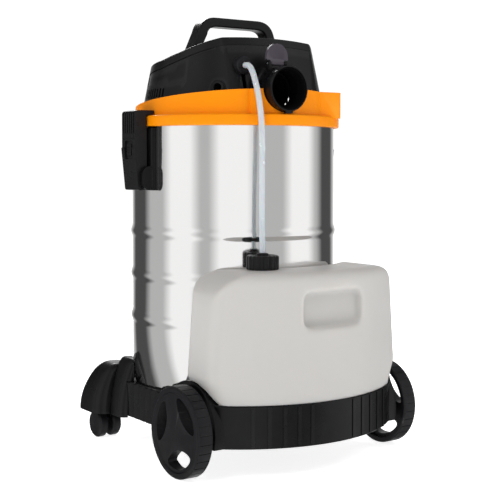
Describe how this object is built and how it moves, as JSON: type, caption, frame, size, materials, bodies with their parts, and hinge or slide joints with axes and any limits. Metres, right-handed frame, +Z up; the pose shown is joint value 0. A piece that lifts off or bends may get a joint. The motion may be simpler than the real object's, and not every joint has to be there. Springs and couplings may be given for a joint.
{
  "type": "wet dry floor scrubber",
  "caption": "Wheeled wet and dry drum vacuum with a motor head, clamped lid and a rear solution tank fed through a clear tube.",
  "frame": {"origin": "middle of the footprint's bounding rectangle, on the floor", "axes": "+Z up; -Y is the rear, where the solution tank and suction port are; +Y is the front with the casters; X along the rear axles"},
  "size_m": [0.446, 0.488, 0.746],
  "materials": {
    "black_plastic": "moulded black plastic with a fine grain",
    "black_rubber": "black rubber, slightly scuffed",
    "orange_plastic": "satin orange moulded plastic",
    "drum_steel": "bright rolled stainless steel",
    "steel_plain": "plain turned steel",
    "lever_plastic": "dark grey plastic",
    "switch_plastic": "glossy black rocker",
    "copper_winding": "enamelled copper winding",
    "filter_foam": "open-cell foam",
    "float_plastic": "white hollow float",
    "tank_plastic": "translucent blow-moulded polyethylene",
    "clear_tube": "milky clear soft tube"
  },
  "bodies": {
    "chassis": {"base_tray": "black_plastic", "caster_hood_right": "black_plastic", "caster_hood_left": "black_plastic", "rear_axle_right": "steel_plain", "rear_axle_left": "steel_plain", "caster_bush_right": "steel_plain", "caster_bush_left": "steel_plain", "drum": "drum_steel", "lid_seal": "black_rubber", "lid_ring": "orange_plastic", "lid_plate": "black_plastic", "head_housing": "black_plastic", "head_top_cover": "black_plastic", "carry_handle": "black_plastic", "switch_bezel": "black_plastic", "cable_gland": "black_rubber", "spray_socket": "black_plastic", "tube_grommet": "black_rubber", "port_collar": "black_plastic", "inlet_port": "black_plastic", "inlet_elbow": "black_plastic", "hose_lever_pin": "steel_plain", "fan_shroud": "steel_plain", "motor_stator": "copper_winding", "motor_can": "black_plastic", "solution_pump": "black_plastic", "float_cage": "black_plastic", "filter_sleeve": "filter_foam", "solution_tank": "tank_plastic", "cap_gland": "black_rubber", "dip_tube": "clear_tube", "solution_tube": "clear_tube", "latch_bracket_right": "black_plastic", "latch_bracket_left": "black_plastic", "latch_pin_right": "steel_plain", "latch_pin_left": "steel_plain"},
    "rear_wheel_left": {"rear_wheel_left": "black_rubber"},
    "caster_left": {"caster_fork_left": "black_plastic"},
    "caster_wheel_outer_left": {"caster_wheel_outer_left": "black_rubber"},
    "caster_wheel_inner_left": {"caster_wheel_inner_left": "black_rubber"},
    "latch_left": {"latch_clamp_left": "black_plastic"},
    "rear_wheel_right": {"rear_wheel_right": "black_rubber"},
    "caster_right": {"caster_fork_right": "black_plastic"},
    "caster_wheel_outer_right": {"caster_wheel_outer_right": "black_rubber"},
    "caster_wheel_inner_right": {"caster_wheel_inner_right": "black_rubber"},
    "latch_right": {"latch_clamp_right": "black_plastic"},
    "hose_lever": {"hose_lever": "lever_plastic"},
    "vacuum_switch": {"vacuum_switch": "switch_plastic"},
    "pump_switch": {"pump_switch": "switch_plastic"},
    "motor_rotor": {"motor_shaft": "steel_plain", "suction_fan": "steel_plain"},
    "float_ball": {"float_ball": "float_plastic"},
    "tank_cap": {"tank_cap": "black_plastic"}
  },
  "joints": [
    {"name": "rear_wheel_left_spin", "type": "hinge", "parent": "chassis", "child": "rear_wheel_left", "pos_m": [-0.209, -0.119, 0.0726], "axis": [1, 0, 0], "continuous": true},
    {"name": "caster_left_swivel", "type": "hinge", "parent": "chassis", "child": "caster_left", "pos_m": [-0.179, 0.208, 0.06], "axis": [0, 0, 1], "continuous": true},
    {"name": "caster_wheel_outer_left_spin", "type": "hinge", "parent": "caster_left", "child": "caster_wheel_outer_left", "pos_m": [-0.192, 0.196, 0.0245], "axis": [1, 0, 0], "continuous": true},
    {"name": "caster_wheel_inner_left_spin", "type": "hinge", "parent": "caster_left", "child": "caster_wheel_inner_left", "pos_m": [-0.166, 0.196, 0.0245], "axis": [1, 0, 0], "continuous": true},
    {"name": "latch_left_swing", "type": "hinge", "parent": "chassis", "child": "latch_left", "pos_m": [-0.192, 0.046, 0.466], "axis": [0, -1, 0], "range_deg": [0, 50]},
    {"name": "rear_wheel_right_spin", "type": "hinge", "parent": "chassis", "child": "rear_wheel_right", "pos_m": [0.209, -0.119, 0.0726], "axis": [1, 0, 0], "continuous": true},
    {"name": "caster_right_swivel", "type": "hinge", "parent": "chassis", "child": "caster_right", "pos_m": [0.179, 0.208, 0.06], "axis": [0, 0, 1], "continuous": true},
    {"name": "caster_wheel_outer_right_spin", "type": "hinge", "parent": "caster_right", "child": "caster_wheel_outer_right", "pos_m": [0.192, 0.196, 0.0245], "axis": [1, 0, 0], "continuous": true},
    {"name": "caster_wheel_inner_right_spin", "type": "hinge", "parent": "caster_right", "child": "caster_wheel_inner_right", "pos_m": [0.166, 0.196, 0.0245], "axis": [1, 0, 0], "continuous": true},
    {"name": "latch_right_swing", "type": "hinge", "parent": "chassis", "child": "latch_right", "pos_m": [0.192, 0.046, 0.466], "axis": [0, 1, 0], "range_deg": [0, 50]},
    {"name": "hose_lever_tilt", "type": "hinge", "parent": "chassis", "child": "hose_lever", "pos_m": [-0.012, -0.1015, 0.6575], "axis": [-1, 0, 0], "range_deg": [0, 12], "stiffness_Nm_per_rad": 0.3},
    {"name": "vacuum_switch_rock", "type": "hinge", "parent": "chassis", "child": "vacuum_switch", "pos_m": [-0.019, 0.134, 0.65352], "axis": [-1, 0, 0], "range_deg": [0, 16]},
    {"name": "pump_switch_rock", "type": "hinge", "parent": "chassis", "child": "pump_switch", "pos_m": [0.019, 0.134, 0.65352], "axis": [-1, 0, 0], "range_deg": [0, 16]},
    {"name": "motor_spin", "type": "hinge", "parent": "chassis", "child": "motor_rotor", "pos_m": [0, 0.056, 0.6], "axis": [0, 0, 1], "continuous": true},
    {"name": "float_rise", "type": "slide", "parent": "chassis", "child": "float_ball", "axis": [0, 0, 1], "range_m": [0, 0.045]},
    {"name": "tank_cap_turn", "type": "hinge", "parent": "chassis", "child": "tank_cap", "pos_m": [-0.076, -0.152, 0.335], "axis": [0, 0, 1], "continuous": true}
  ]
}
